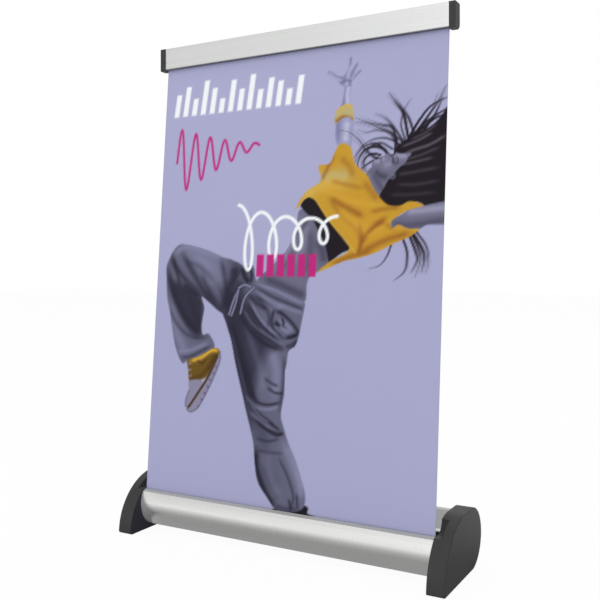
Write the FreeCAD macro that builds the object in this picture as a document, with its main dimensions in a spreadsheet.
"""Tabletop roll-up banner stand for an A4 graphic.  Millimetres.

Frame: origin on the table, midway between the end plates and midway between the front and
the back of the feet.  +X is to the right seen from the front, +Y to the back, +Z up.
"""
import FreeCAD
import Part
import Sketcher

import math
import os

# Driving dimensions, copied into the spreadsheet.
DIMENSIONS = {
    # banner and its line from the slot to the top rail
    "banner_width": 210.0,
    "banner_film": 0.3,
    "slot_line_y": -17.7,
    "slot_line_z": 27.7,
    "lean_run": 24.4,
    "lean_rise": 295.3,
    # base casing: one extrusion with a bulged front and a round back
    "casing_length": 210.6,
    "casing_wall": 1.5,
    "casing_bottom": 1.4,
    "front_centre_y": -5.9,
    "front_radius": 17.4,
    "lip_top": 28.3,
    "lip_shoulder": 27.1,
    "back_centre_y": 14.5,
    "back_radius": 16.8,
    "ramp_top_y": 12.5,
    "ramp_edge_y": -3.7,
    "ramp_edge_z": 27.35,
    "bead_radius": 1.1,
    "boss_radius": 3.2,
    "boss_rooting": 0.7,
    "boss_bottom_back": 5.5,
    "boss_top_back": 3.0,
    "peg_radius": 1.9,
    "peg_length": 8.0,
    # end plates
    "foot_thickness": 10.7,
    "foot_height": 37.4,
    "foot_front_centre_y": 3.5,
    "foot_crown": 11.7,
    "foot_bottom": 0.2,
    "foot_round": 0.5,
    "toe_height": 1.9,
    "toe_run": 1.5,
    "toe_radius": 1.7,
    "notch_depth": 4.7,
    "notch_front_y": -21.4,
    "notch_back_y": -7.8,
    "notch_floor_z": 28.3,
    "notch_bend_run": 5.5,
    "notch_bend_rise": 6.5,
    "notch_bend_radius": 9.0,
    "socket_depth": 6.0,
    "pad_length": 12.0,
    "pad_width": 5.0,
    "pad_bed": 1.0,
    "front_pad_y": -29.0,
    "back_pad_y": 4.5,
    # roller
    "roller_y": -8.5,
    "roller_z": 16.5,
    "tube_radius": 9.2,
    "tube_wall": 1.0,
    "tube_length": 208.0,
    "leader_radius": 9.45,
    "winding_radius": 9.75,
    "shaft_radius": 2.5,
    "running_gap": 0.05,
    "plug_length": 16.0,
    "arbor_end_x": 50.0,
    "anchor_radius": 5.6,
    "anchor_length": 5.0,
    "stub_reach": 12.0,
    "washer_radius": 5.0,
    "washer_thickness": 1.0,
    "film_standoff": 0.2,
    "spring_radius": 4.6,
    "spring_wire": 0.6,
    "spring_pitch": 5.0,
    "spring_turns": 26.0,
    # top rail
    "rail_front_y": 3.75,
    "rail_depth": 7.15,
    "rail_bottom": 322.7,
    "rail_height": 15.3,
    "rail_length": 211.4,
    "rail_wall": 1.0,
    "rail_chamfer": 2.0,
    "rail_round": 0.6,
    "rail_slot_front": 0.8,
    "rail_slot_back": 0.9,
    "cap_thickness": 4.1,
    "cap_proud": 0.6,
    "cap_round": 0.4,
    "tongue_height": 2.6,
    "tongue_length": 7.0,
    "film_in_rail": 10.0,
    "strip_rise": 3.2,
    "strip_height": 7.0,
    "strip_gap": 0.3,
    # pole
    "pole_y": 17.5,
    "pivot_z": 44.0,
    "pin_radius": 1.5,
    "knuckle_radius": 4.8,
    "knuckle_half": 5.2,
    "lower_radius": 5.0,
    "middle_radius": 3.85,
    "upper_radius": 2.8,
    "pole_wall": 0.8,
    "lower_bottom": 50.0,
    "lower_top": 148.0,
    "middle_bottom": 137.0,
    "middle_top": 235.0,
    "upper_bottom": 224.0,
    "upper_top": 318.0,
    "friction_plug": 4.0,
    "collar_wall": 1.2,
    "collar_height": 10.0,
    "collar_lip": 3.0,
    "spigot_length": 5.0,
    "head_half_width": 6.0,
    "head_gap": 0.3,
    "head_back": 4.0,
    "head_front": 5.0,
    "head_nose": 5.5,
    "head_skirt": 10.0,
    "head_crown": 11.0,
    "head_crown_radius": 4.04,
    "head_bore_depth": 7.0,
    "head_sleeve": 4.0,
    "head_sleeve_wall": 1.4,
    # bracket, screws and hinge pin
    "bracket_top": 38.8,
    "bracket_half_width": 16.0,
    "bracket_depth": 13.5,
    "bracket_hold": 5.0,
    "ear_gap": 0.3,
    "ear_thickness": 2.5,
    "ear_radius": 4.6,
    "screw_x": 12.0,
    "screw_y": 20.0,
    "screw_radius": 1.25,
    "screw_length": 8.0,
    "screw_head_radius": 2.4,
    "screw_head_height": 1.5,
    "screw_drive_radius": 0.9,
    "screw_drive_floor": 0.6,
    "pin_head_radius": 2.6,
    "pin_head_height": 1.2,
    # how far a cutting tool or a joined piece runs past a face
    "overrun": 1.0,
}


class Size:
    """A length that knows its value and its formula over the sheet's cells."""

    def __init__(self, value, formula):
        self.value = float(value)
        self.formula = formula

    def joined(self, sign, other, value):
        return Size(value, "(%s %s %s)" % (self.formula, sign, other.formula))

    def __add__(self, other):
        other = as_size(other)
        return self.joined("+", other, self.value + other.value)

    def __sub__(self, other):
        other = as_size(other)
        return self.joined("-", other, self.value - other.value)

    def __mul__(self, other):
        other = as_size(other)
        return self.joined("*", other, self.value * other.value)

    def __truediv__(self, other):
        other = as_size(other)
        return self.joined("/", other, self.value / other.value)

    def __neg__(self):
        return as_size(0.0) - self


def as_size(number):
    """Numbers become sizes; sizes stay."""
    if isinstance(number, Size):
        return number
    return Size(number, "%.6f" % number)


def root(size):
    """Square root of a size."""
    return Size(math.sqrt(size.value), "sqrt(%s)" % size.formula)


doc = FreeCAD.newDocument("RollUpBannerStand")
sheet = doc.addObject("Spreadsheet::Sheet", "Sizes")
for row, (alias, value) in enumerate(DIMENSIONS.items(), start=1):
    sheet.set("A%d" % row, alias)
    sheet.set("B%d" % row, str(value))
    sheet.setAlias("B%d" % row, alias)
doc.recompute()


class Cells:
    """Every cell of the sheet as a Size attribute."""


for alias, value in DIMENSIONS.items():
    setattr(Cells, alias, Size(value, "Sizes.%s" % alias))

S = Cells
SUBPARTS = []
ALONG_X = FreeCAD.Rotation(FreeCAD.Vector(0, 1, 0), 90)


# ---------------------------------------------------------------- helpers: primitives
def bind(thing, **sizes):
    """Binds properties to the sheet."""
    for name, size in sizes.items():
        thing.setExpression(name, as_size(size).formula)


def put(thing, x, y, z):
    """Binds the placement's position."""
    for axis, size in zip("xyz", (x, y, z)):
        thing.setExpression("Placement.Base.%s" % axis, as_size(size).formula)


def rod_x(name, radius, x, length, y, z):
    """Cylinder along X from x."""
    rod = doc.addObject("Part::Cylinder", name)
    rod.Placement = FreeCAD.Placement(FreeCAD.Vector(0, 0, 0), ALONG_X)
    bind(rod, Radius=radius, Height=length)
    put(rod, x, y, z)
    return rod


def rod_z(name, radius, x, y, z, height):
    """Upright cylinder from z."""
    rod = doc.addObject("Part::Cylinder", name)
    bind(rod, Radius=radius, Height=height)
    put(rod, x, y, z)
    return rod


def block(name, x, y, z, length, width, height):
    """Box from its low corner."""
    box = doc.addObject("Part::Box", name)
    bind(box, Length=length, Width=width, Height=height)
    put(box, x, y, z)
    return box


def cut(name, base, tool):
    """Base less tool."""
    made = doc.addObject("Part::Cut", name)
    made.Base = base
    made.Tool = tool
    return made


def fuse(name, pieces):
    """One solid, or one group of solids, from several."""
    made = doc.addObject("Part::MultiFuse", name)
    made.Shapes = pieces
    made.Refine = True
    return made


def subpart(thing, label):
    """Names a sub-part and lists it for export."""
    thing.Label = label
    SUBPARTS.append(thing)
    return thing


# ---------------------------------------------------------------- helpers: sketched bodies
def new_body(label):
    made = doc.addObject("PartDesign::Body", label + "_body")
    return subpart(made, label)


def sketch_on(body, name, role, offset=0.0):
    """Sketch on an origin plane of its own body, moved along the plane's normal."""
    plane = [item for item in body.Origin.OriginFeatures if item.Role == role][0]
    sketch = body.newObject("Sketcher::SketchObject", name)
    sketch.AttachmentSupport = [(plane, "")]
    sketch.MapMode = "FlatFace"
    sketch.setExpression("AttachmentOffset.Base.z", as_size(offset).formula)
    return sketch


def fix_coordinate(sketch, kind, geometry, end, size):
    """Ties one coordinate of a point to the sheet."""
    if abs(size.value) < 1e-9:
        axis = -2 if kind == "DistanceX" else -1
        sketch.addConstraint(Sketcher.Constraint("PointOnObject", geometry, end, axis))
        return
    index = sketch.addConstraint(Sketcher.Constraint(kind, geometry, end, size.value))
    sketch.setExpression("Constraints[%d]" % index, size.formula)


def arc_between(start, end, radius):
    """Arc of a signed radius: positive bulges to the right of the way from start to end."""
    middle = (start + end) * 0.5
    along = end - start
    left = FreeCAD.Vector(-along.y, along.x, 0).normalize()
    rise = math.sqrt(max(radius * radius - along.Length ** 2 / 4, 0.0))
    centre = middle + left * (rise if radius > 0 else -rise)
    first, last = (start, end) if radius > 0 else (end, start)
    begin = math.atan2(first.y - centre.y, first.x - centre.x)
    finish = math.atan2(last.y - centre.y, last.x - centre.x)
    if finish < begin:
        finish += 2 * math.pi
    circle = Part.Circle(centre, FreeCAD.Vector(0, 0, 1), abs(radius))
    return Part.ArcOfCircle(circle, begin, finish)


def loop(sketch, corners):
    """Closed outline.  A corner is (u, v), or (u, v, radius) where an arc arrives at it."""
    corners = [tuple(as_size(number) for number in corner) for corner in corners]
    points = [FreeCAD.Vector(corner[0].value, corner[1].value, 0) for corner in corners]
    ends = []
    for index, corner in enumerate(corners):
        start = points[index - 1]
        end = points[index]
        if len(corner) == 2:
            side = sketch.addGeometry(Part.LineSegment(start, end), False)
            ends.append((side, 1, 2))
            continue
        radius = corner[2]
        side = sketch.addGeometry(arc_between(start, end, radius.value), False)
        ends.append((side, 1, 2) if radius.value > 0 else (side, 2, 1))
        bound = radius if radius.value > 0 else -radius
        number = sketch.addConstraint(Sketcher.Constraint("Radius", side, bound.value))
        sketch.setExpression("Constraints[%d]" % number, bound.formula)
    for index, corner in enumerate(corners):
        side, _, last = ends[index]
        following, first, _ = ends[(index + 1) % len(ends)]
        sketch.addConstraint(Sketcher.Constraint("Coincident", side, last, following, first))
        fix_coordinate(sketch, "DistanceX", side, last, corner[0])
        fix_coordinate(sketch, "DistanceY", side, last, corner[1])


def ring(sketch, u, v, radius):
    """Circle bound to the sheet."""
    u, v, radius = as_size(u), as_size(v), as_size(radius)
    centre = FreeCAD.Vector(u.value, v.value, 0)
    circle = Part.Circle(centre, FreeCAD.Vector(0, 0, 1), radius.value)
    side = sketch.addGeometry(circle, False)
    fix_coordinate(sketch, "DistanceX", side, 3, u)
    fix_coordinate(sketch, "DistanceY", side, 3, v)
    index = sketch.addConstraint(Sketcher.Constraint("Radius", side, radius.value))
    sketch.setExpression("Constraints[%d]" % index, radius.formula)


def pad(body, name, sketch, length, centred=False, backwards=False):
    made = body.newObject("PartDesign::Pad", name)
    made.Profile = sketch
    made.SideType = "Symmetric" if centred else "One side"
    made.Reversed = backwards
    bind(made, Length=length)
    doc.recompute()
    return made


def pocket(body, name, sketch, length, forwards=False):
    """Pocket that must remove something."""
    before = body.Shape.Volume
    made = body.newObject("PartDesign::Pocket", name)
    made.Profile = sketch
    made.Reversed = forwards
    bind(made, Length=length)
    doc.recompute()
    if body.Shape.Volume > before - 1e-6:
        raise RuntimeError("%s removes nothing" % name)
    return made


def round_end(body, name, x, radius):
    """Rounds the edges that lie in the plane X = x."""
    base = body.Tip
    names = []
    for index, edge in enumerate(base.Shape.Edges, start=1):
        box = edge.BoundBox
        if abs(box.XMin - x) < 1e-4 and abs(box.XMax - x) < 1e-4:
            names.append("Edge%d" % index)
    made = body.newObject("PartDesign::Fillet", name)
    made.Base = (base, names)
    bind(made, Radius=radius)
    doc.recompute()
    return made


# ---------------------------------------------------------------- base casing
def boss_places():
    """Centres of the three bosses behind the roller, as (y, z)."""
    reach = S.boss_radius - S.boss_rooting
    bottom = (S.back_centre_y - S.boss_bottom_back, S.casing_bottom + S.casing_wall + reach)
    back = (S.back_centre_y + S.back_radius - S.casing_wall - reach, back_centre_z())
    top = (S.back_centre_y - S.boss_top_back, casing_top() - S.casing_wall - reach)
    return [bottom, back, top]


def back_centre_z():
    return S.casing_bottom + S.back_radius


def casing_top():
    return back_centre_z() + S.back_radius


def base_casing():
    body = new_body("base_casing")
    wall = S.casing_wall
    front_z = S.casing_bottom + S.front_radius
    inner_front = S.front_radius - wall
    inner_back = S.back_radius - wall
    lip_rise = S.lip_top - front_z
    shoulder_rise = S.lip_shoulder - front_z
    shoulder_reach = root(S.front_radius * S.front_radius - shoulder_rise * shoulder_rise)
    lip_inner_y = S.front_centre_y - root(inner_front * inner_front - lip_rise * lip_rise)
    top = casing_top()
    slope = (top - S.ramp_edge_z) / (S.ramp_top_y - S.ramp_edge_y)
    drop = wall * root(slope * slope + 1.0)
    profile = sketch_on(body, "casing_profile", "YZ_Plane")
    loop(profile, [
        (S.front_centre_y - shoulder_reach, S.lip_shoulder),
        (S.front_centre_y, S.casing_bottom, S.front_radius),
        (S.back_centre_y, S.casing_bottom),
        (S.back_centre_y + S.back_radius, back_centre_z(), S.back_radius),
        (S.back_centre_y, top, S.back_radius),
        (S.ramp_top_y, top),
        (S.ramp_edge_y, S.ramp_edge_z),
        (S.ramp_edge_y, S.ramp_edge_z - drop),
        (S.ramp_top_y + (drop - wall) / slope, top - wall),
        (S.back_centre_y, top - wall),
        (S.back_centre_y + inner_back, back_centre_z(), -inner_back),
        (S.back_centre_y, S.casing_bottom + wall, -inner_back),
        (S.front_centre_y, S.casing_bottom + wall),
        (lip_inner_y, S.lip_top, -inner_front),
    ])
    pad(body, "casing_wall", profile, S.casing_length, centred=True)
    bead = sketch_on(body, "bead_profile", "YZ_Plane")
    ring(bead, S.ramp_edge_y, S.ramp_edge_z - drop / 2, S.bead_radius)
    pad(body, "ramp_bead", bead, S.casing_length, centred=True)
    bosses = sketch_on(body, "boss_profile", "YZ_Plane")
    for y, z in boss_places():
        ring(bosses, y, z, S.boss_radius)
        ring(bosses, y, z, S.peg_radius)
    pad(body, "screw_bosses", bosses, S.casing_length, centred=True)
    holes = sketch_on(body, "bracket_holes", "XY_Plane", casing_top() - S.screw_length)
    for side in (-1, 1):
        ring(holes, S.screw_x * side, S.screw_y, S.screw_radius)
    pocket(body, "bracket_hole_pair", holes, S.screw_length + S.overrun, forwards=True)


# ---------------------------------------------------------------- end plates
def end_plate(label, side):
    """Side is -1 for the left plate and +1 for the right one."""
    body = new_body(label)
    inner = S.casing_length / 2 * side
    outer = inner + S.foot_thickness * side
    front = S.foot_height
    back = S.foot_height / 2
    bottom = S.foot_bottom
    front_y = S.foot_front_centre_y - front
    back_centre = S.foot_front_centre_y + S.foot_crown
    low_y = back_centre + root(back * back - (back - bottom) * (back - bottom))
    outline = sketch_on(body, label + "_outline", "YZ_Plane", inner)
    loop(outline, [
        (S.foot_front_centre_y, S.foot_height),
        (front_y, S.toe_height, front),
        (front_y + S.toe_run, bottom, S.toe_radius),
        (low_y, bottom),
        (back_centre + back, back, back),
        (back_centre, S.foot_height, back),
    ])
    pad(body, label + "_plate", outline, S.foot_thickness, backwards=side < 0)
    round_end(body, label + "_edge", outer.value, S.foot_round)
    notch = sketch_on(body, label + "_notch", "YZ_Plane", inner)
    loop(notch, [
        (S.notch_front_y, S.foot_height + S.overrun),
        (S.notch_front_y, S.notch_floor_z),
        (S.notch_back_y - S.notch_bend_run, S.notch_floor_z),
        (S.notch_back_y, S.notch_floor_z + S.notch_bend_rise, S.notch_bend_radius),
        (S.notch_back_y, S.foot_height + S.overrun),
    ])
    pocket(body, label + "_notch_cut", notch, S.notch_depth, forwards=side > 0)
    socket = sketch_on(body, label + "_socket", "YZ_Plane", inner)
    ring(socket, S.roller_y, S.roller_z, S.shaft_radius)
    pocket(body, label + "_socket_cut", socket, S.socket_depth, forwards=side > 0)
    pegs = sketch_on(body, label + "_pegs", "YZ_Plane", inner)
    for y, z in boss_places():
        ring(pegs, y, z, S.peg_radius)
    pad(body, label + "_peg_set", pegs, S.peg_length, backwards=side > 0)
    pads = sketch_on(body, label + "_pad_beds", "XY_Plane", bottom)
    middle = (inner + outer) / 2
    for low_corner, high_corner in pad_beds(middle):
        loop(pads, [
            low_corner,
            (high_corner[0], low_corner[1]),
            high_corner,
            (low_corner[0], high_corner[1]),
        ])
    pocket(body, label + "_pad_bed_pair", pads, S.pad_bed, forwards=True)


def pad_beds(middle):
    """Low and high corners, in plan, of the front and back pads of one foot."""
    half = S.pad_width / 2
    beds = []
    for start in (S.front_pad_y, S.back_pad_y):
        beds.append(((middle - half, start), (middle + half, start + S.pad_length)))
    return beds


def foot_pads(label, side):
    """Two rubber strips let into the underside of one foot."""
    middle = (S.casing_length + S.foot_thickness) / 2 * side
    strips = []
    for index, (low_corner, _) in enumerate(pad_beds(middle), start=1):
        name = "%s_strip_%d" % (label, index)
        size = (S.pad_width, S.pad_length, S.foot_bottom + S.pad_bed)
        strips.append(block(name, low_corner[0], low_corner[1], 0.0, *size))
    subpart(fuse(label + "_pair", strips), label)


# ---------------------------------------------------------------- roller
def tube_x(label, outer, inner, x, length):
    """Tube round the roller's axis."""
    skin = rod_x(label + "_outside", outer, x, length, S.roller_y, S.roller_z)
    bore = rod_x(label + "_bore", inner, x - S.overrun, length + S.overrun * 2,
                 S.roller_y, S.roller_z)
    return subpart(cut(label + "_ring", skin, bore), label)


def roller():
    half = S.tube_length / 2
    inner = S.tube_radius - S.tube_wall
    bore = S.shaft_radius + S.running_gap
    tube_x("roller_tube", S.tube_radius, inner, -half, S.tube_length)
    tube_x("roller_plug_left", inner, bore, -half, S.plug_length)
    tube_x("roller_plug_right", inner, bore, half - S.plug_length, S.plug_length)
    film = S.banner_width / 2
    tube_x("leader_film", S.leader_radius, S.tube_radius, -film, S.banner_width)
    tube_x("banner_winding", S.winding_radius, S.leader_radius, -film, S.banner_width)


def roller_supports():
    """Spring arbor at the left, stub pin at the right, with their thrust washers."""
    plate = S.casing_length / 2
    half = S.tube_length / 2
    y, z = S.roller_y, S.roller_z
    deep = plate + S.socket_depth
    arbor = rod_x("arbor_rod", S.shaft_radius, -deep, deep + S.arbor_end_x, y, z)
    subpart(arbor, "spring_arbor")
    anchor_x = S.arbor_end_x - S.anchor_length
    tube_x("spring_anchor", S.anchor_radius, S.shaft_radius, anchor_x, S.anchor_length)
    stub_x = half - S.stub_reach
    subpart(rod_x("stub_rod", S.shaft_radius, stub_x, deep - stub_x, y, z), "roller_stub_pin")
    washer = (S.washer_radius, S.shaft_radius)
    tube_x("roller_washer_left", *washer, -plate, S.washer_thickness)
    tube_x("roller_washer_right", *washer, plate - S.washer_thickness, S.washer_thickness)


def torsion_spring():
    """Open helix on the arbor, from the left plug to the anchor."""
    start = -S.tube_length / 2 + S.plug_length + S.spring_wire * 2
    helix = doc.addObject("Part::Helix", "spring_path")
    helix.Placement = FreeCAD.Placement(FreeCAD.Vector(0, 0, 0), ALONG_X)
    bind(helix, Pitch=S.spring_pitch, Radius=S.spring_radius)
    bind(helix, Height=S.spring_pitch * S.spring_turns)
    put(helix, start, S.roller_y, S.roller_z)
    wire = doc.addObject("Part::Circle", "spring_wire_section")
    across = FreeCAD.Rotation(FreeCAD.Vector(0, 0, 1), FreeCAD.Vector(0, 1, 0))
    wire.Placement = FreeCAD.Placement(FreeCAD.Vector(0, 0, 0), across)
    bind(wire, Radius=S.spring_wire)
    put(wire, start, S.roller_y, S.roller_z - S.spring_radius)
    doc.recompute()
    sweep = doc.addObject("Part::Sweep", "spring_sweep")
    sweep.Sections = [wire]
    edges = ["Edge%d" % index for index in range(1, len(helix.Shape.Edges) + 1)]
    sweep.Spine = (helix, edges)
    sweep.Solid = True
    sweep.Frenet = True
    subpart(sweep, "torsion_spring")


# ---------------------------------------------------------------- rail and banner
def line_y(height):
    """Y of the banner at a height."""
    return S.slot_line_y + (as_size(height) - S.slot_line_z) * S.lean_run / S.lean_rise


def rail_corners(inset):
    """Rail section, moved in by inset, without its banner slot."""
    front = S.rail_front_y + inset
    back = S.rail_front_y + S.rail_depth - inset
    low = S.rail_bottom + inset
    high = S.rail_bottom + S.rail_height - inset
    cant = S.rail_chamfer - inset * 0.6
    return front, back, low, high, cant


def rail_extrusion():
    body = new_body("rail_extrusion")
    none = as_size(0.0)
    front, back, low, high, cant = rail_corners(none)
    in_front, in_back, in_low, in_high, in_cant = rail_corners(S.rail_wall)
    slot_front = line_y(S.rail_bottom) - S.rail_slot_front
    slot_back = line_y(S.rail_bottom) + S.rail_slot_back
    soft = S.rail_round
    profile = sketch_on(body, "rail_profile", "YZ_Plane")
    loop(profile, [
        (slot_front, low),
        (slot_front, in_low),
        (in_front, in_low),
        (in_front, in_high),
        (in_back, in_high),
        (in_back, in_low + in_cant),
        (in_back - in_cant, in_low),
        (slot_back, in_low),
        (slot_back, low),
        (back - cant, low),
        (back, low + cant),
        (back, high - soft),
        (back - soft, high, soft * 1.01),
        (front + soft, high),
        (front, high - soft, soft * 1.01),
        (front, low + soft),
        (front + soft, low, soft * 1.01),
    ])
    pad(body, "rail_length_pad", profile, S.rail_length, centred=True)


def rail_cap(label, side):
    """End cap with a tongue that fills the top of the rail."""
    body = new_body(label)
    front, back, low, _, cant = rail_corners(-S.cap_proud)
    high = S.rail_bottom + S.rail_height
    soft = S.rail_round
    end = S.rail_length / 2 * side
    face = sketch_on(body, label + "_face", "YZ_Plane", end)
    loop(face, [
        (front, high - soft),
        (front, low + soft),
        (front + soft, low, soft * 1.01),
        (back - cant, low),
        (back, low + cant),
        (back, high - soft),
        (back - soft, high, soft * 1.01),
        (front + soft, high),
        (front, high - soft, soft * 1.01),
    ][1:])
    pad(body, label + "_plate", face, S.cap_thickness, backwards=side < 0)
    round_end(body, label + "_edge", (end + S.cap_thickness * side).value, S.cap_round)
    in_front, in_back, _, in_high, _ = rail_corners(S.rail_wall)
    tongue = sketch_on(body, label + "_tongue", "YZ_Plane", end)
    loop(tongue, [
        (in_front, in_high),
        (in_front, in_high - S.tongue_height),
        (in_back, in_high - S.tongue_height),
        (in_back, in_high),
    ])
    pad(body, label + "_tongue_pad", tongue, S.tongue_length, backwards=side > 0)


def rail_clamp_strip():
    """Strip behind the film that jams it in the rail."""
    y = line_y(S.rail_bottom + S.film_in_rail) + S.strip_gap
    depth = S.rail_front_y + S.rail_depth - S.rail_wall - y
    low = S.rail_bottom + S.strip_rise
    strip = block("clamp_bar", -S.banner_width / 2, y, low, S.banner_width, depth, S.strip_height)
    subpart(strip, "rail_clamp_strip")


def banner_panel():
    """Film from its tangent point on the winding up into the rail."""
    body = new_body("banner_panel")
    reach = root(S.lean_run * S.lean_run + S.lean_rise * S.lean_rise)
    off = S.winding_radius + S.film_standoff + S.banner_film / 2
    low = S.roller_z + off * S.lean_run / reach
    high = S.rail_bottom + S.film_in_rail
    half = S.banner_film / 2
    film = sketch_on(body, "film_section", "YZ_Plane")
    loop(film, [
        (line_y(low) - half, low),
        (line_y(low) + half, low),
        (line_y(high) + half, high),
        (line_y(high) - half, high),
    ])
    pad(body, "film_pad", film, S.banner_width, centred=True)


# ---------------------------------------------------------------- pole
def pole_bracket():
    """Saddle on the casing's back with two ears for the hinge pin."""
    y, z = S.pole_y, S.pivot_z
    width = S.bracket_half_width * 2
    low = casing_top() - S.bracket_hold
    seat = block("bracket_seat", -S.bracket_half_width, S.ramp_top_y, low,
                 width, S.bracket_depth, S.bracket_top - low)
    long = width + S.overrun * 2
    start = -S.bracket_half_width - S.overrun
    back = rod_x("casing_back_form", S.back_radius, start, long, S.back_centre_y, back_centre_z())
    flat = block("casing_flat_form", start, S.ramp_top_y - S.overrun, low - S.overrun,
                 long, S.back_centre_y - S.ramp_top_y + S.overrun,
                 casing_top() - low + S.overrun)
    saddle = cut("bracket_saddle", cut("bracket_seat_rounded", seat, back), flat)
    pieces = [saddle]
    inside = S.knuckle_half + S.ear_gap
    for name, x in (("left", -inside - S.ear_thickness), ("right", inside)):
        ear = block("ear_block_" + name, x, y - S.ear_radius, S.bracket_top - S.overrun,
                    S.ear_thickness, S.ear_radius * 2, z - S.bracket_top + S.overrun)
        pieces.append(ear)
        pieces.append(rod_x("ear_round_" + name, S.ear_radius, x, S.ear_thickness, y, z))
    solid = fuse("bracket_solid", pieces)
    bores = [rod_x("pin_bore", S.pin_radius, -S.bracket_half_width, width, y, z)]
    for name, side in (("left", -1), ("right", 1)):
        bores.append(rod_z("screw_bore_" + name, S.screw_radius, S.screw_x * side, S.screw_y,
                           low, S.bracket_top - low + S.overrun))
    subpart(cut("bracket_finished", solid, fuse("bracket_bores", bores)), "pole_bracket")


def bracket_screws():
    """Two pan-head screws through the saddle into the casing."""
    pieces = []
    for name, side in (("left", -1), ("right", 1)):
        x = S.screw_x * side
        y = S.screw_y
        top = S.bracket_top
        shank = rod_z("screw_shank_" + name, S.screw_radius, x, y, top - S.screw_length,
                      S.screw_length)
        head = rod_z("screw_head_" + name, S.screw_head_radius, x, y, top, S.screw_head_height)
        slot = rod_z("screw_drive_" + name, S.screw_drive_radius, x, y,
                     top + S.screw_drive_floor, S.screw_head_height)
        pieces.append(cut("screw_" + name, fuse("screw_blank_" + name, [shank, head]), slot))
    subpart(fuse("screw_pair", pieces), "bracket_screws")


def hinge_pin():
    """Rivet through the ears."""
    outside = S.knuckle_half + S.ear_gap + S.ear_thickness
    y, z = S.pole_y, S.pivot_z
    pieces = [rod_x("pin_shank", S.pin_radius, -outside, outside * 2, y, z)]
    for name, x in (("left", -outside - S.pin_head_height), ("right", outside)):
        pieces.append(rod_x("pin_head_" + name, S.pin_head_radius, x, S.pin_head_height, y, z))
    subpart(fuse("pin_solid", pieces), "pole_hinge_pin")


def pole_knuckle():
    """Turning foot of the pole, with the spigot that plugs the lowest tube."""
    y, z = S.pole_y, S.pivot_z
    width = S.knuckle_half * 2
    pieces = [rod_x("knuckle_round", S.knuckle_radius, -S.knuckle_half, width, y, z)]
    pieces.append(block("knuckle_block", -S.knuckle_half, y - S.ear_radius, z,
                        width, S.ear_radius * 2, S.lower_bottom - z))
    pieces.append(rod_z("knuckle_spigot", S.lower_radius - S.pole_wall, 0.0, y,
                        S.lower_bottom - S.overrun, S.spigot_length + S.overrun))
    bore = rod_x("knuckle_bore", S.pin_radius + S.running_gap, -width, width * 2, y, z)
    subpart(cut("knuckle_finished", fuse("knuckle_solid", pieces), bore), "pole_knuckle")


def pole_tube(label, radius, low, high):
    """Thin tube on the pole's axis."""
    skin = rod_z(label + "_outside", radius, 0.0, S.pole_y, low, high - low)
    bore = rod_z(label + "_bore", radius - S.pole_wall, 0.0, S.pole_y, low - S.overrun,
                 high - low + S.overrun * 2)
    subpart(cut(label + "_tube", skin, bore), label)


def pole_collar(label, tube_radius, sliding_radius, top):
    """Collar that grips a tube's top and guides the thinner tube above it."""
    low = top + S.collar_lip - S.collar_height
    skin = rod_z(label + "_skin", tube_radius + S.collar_wall, 0.0, S.pole_y, low,
                 S.collar_height)
    start = low - S.overrun
    seat = rod_z(label + "_seat", tube_radius, 0.0, S.pole_y, start, top - start)
    guide = rod_z(label + "_guide", sliding_radius + S.running_gap, 0.0, S.pole_y, start,
                  S.collar_height + S.overrun * 2)
    subpart(cut(label + "_bored", cut(label + "_seated", skin, seat), guide), label)


def friction_plug(label, bore_radius, tube_radius, tube_bottom):
    """Nylon plug on a tube's foot, sliding in the wider tube."""
    drum = rod_z(label + "_drum", bore_radius - S.running_gap, 0.0, S.pole_y,
                 tube_bottom - S.friction_plug, S.friction_plug)
    spigot = rod_z(label + "_spigot", tube_radius - S.pole_wall, 0.0, S.pole_y,
                   tube_bottom - S.overrun, S.spigot_length + S.overrun)
    subpart(fuse(label + "_solid", [drum, spigot]), label)


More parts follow.
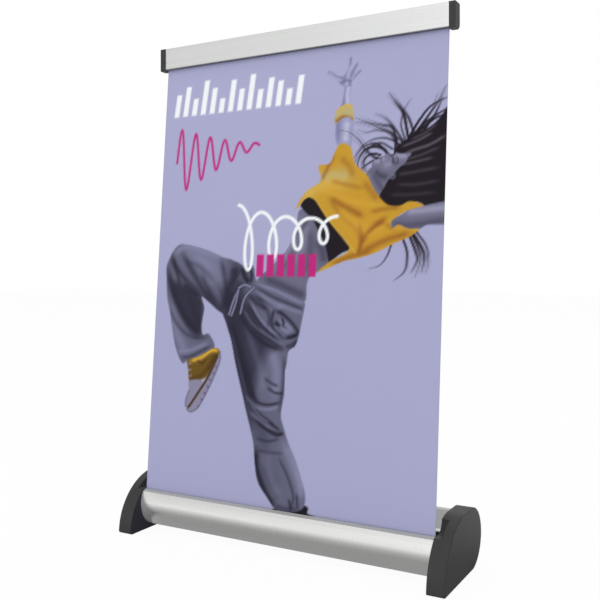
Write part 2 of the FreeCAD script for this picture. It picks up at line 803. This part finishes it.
def pole_head():
    """Cap with a sloping seat and a back stop that carry the rail."""
    body = new_body("pole_head")
    rail_back = S.rail_front_y + S.rail_depth
    stop = rail_back + S.head_gap
    slope_drop = S.rail_bottom + S.rail_chamfer - rail_back - S.head_gap * math.sqrt(2)
    nose_y = line_y(S.rail_bottom) + S.rail_slot_back
    back = S.pole_y + S.head_back
    skirt = S.rail_bottom - S.head_skirt
    crown = S.rail_bottom + S.head_crown
    outline = sketch_on(body, "head_outline", "YZ_Plane")
    loop(outline, [
        (nose_y, nose_y + slope_drop),
        (nose_y, S.rail_bottom - S.head_nose),
        (S.pole_y - S.head_front, skirt),
        (back, skirt),
        (back, crown - S.head_back),
        (back - S.head_back, crown, S.head_crown_radius),
        (stop, crown),
        (stop, stop + slope_drop),
    ])
    pad(body, "head_block", outline, S.head_half_width * 2, centred=True)
    mouth = S.upper_top - S.head_bore_depth
    sleeve = sketch_on(body, "sleeve_ring", "XY_Plane", mouth)
    ring(sleeve, 0.0, S.pole_y, S.upper_radius + S.head_sleeve_wall)
    pad(body, "head_sleeve", sleeve, S.head_sleeve)
    bore = sketch_on(body, "head_bore_ring", "XY_Plane", mouth - S.overrun)
    ring(bore, 0.0, S.pole_y, S.upper_radius)
    pocket(body, "head_bore", bore, S.head_bore_depth + S.overrun, forwards=True)


def pole():
    pole_knuckle()
    pole_tube("pole_lower_tube", S.lower_radius, S.lower_bottom, S.lower_top)
    pole_tube("pole_middle_tube", S.middle_radius, S.middle_bottom, S.middle_top)
    pole_tube("pole_upper_tube", S.upper_radius, S.upper_bottom, S.upper_top)
    pole_collar("pole_lower_collar", S.lower_radius, S.middle_radius, S.lower_top)
    pole_collar("pole_middle_collar", S.middle_radius, S.upper_radius, S.middle_top)
    lower_bore = S.lower_radius - S.pole_wall
    middle_bore = S.middle_radius - S.pole_wall
    friction_plug("pole_middle_plug", lower_bore, S.middle_radius, S.middle_bottom)
    friction_plug("pole_upper_plug", middle_bore, S.upper_radius, S.upper_bottom)
    pole_head()


# ---------------------------------------------------------------- build, check, write
def check_and_write():
    doc.recompute()
    for thing in doc.Objects:
        if "Invalid" in thing.State or "Error" in thing.State:
            raise RuntimeError("%s failed: %s" % (thing.Name, thing.State))
    os.makedirs("parts", exist_ok=True)
    for thing in SUBPARTS:
        shape = thing.Shape
        if shape.isNull() or not shape.isValid() or shape.Volume <= 0:
            raise RuntimeError("%s has a bad shape" % thing.Label)
        shape.exportStep(os.path.join("parts", thing.Label + ".step"))
        print("%-22s solids %d  volume %10.2f" % (thing.Label, len(shape.Solids), shape.Volume))


base_casing()
for word, sign in (("left", -1), ("right", 1)):
    end_plate("end_plate_" + word, sign)
    foot_pads("foot_pads_" + word, sign)
    rail_cap("rail_cap_" + word, sign)
roller()
roller_supports()
torsion_spring()
rail_extrusion()
rail_clamp_strip()
banner_panel()
pole_bracket()
bracket_screws()
hinge_pin()
pole()
check_and_write()
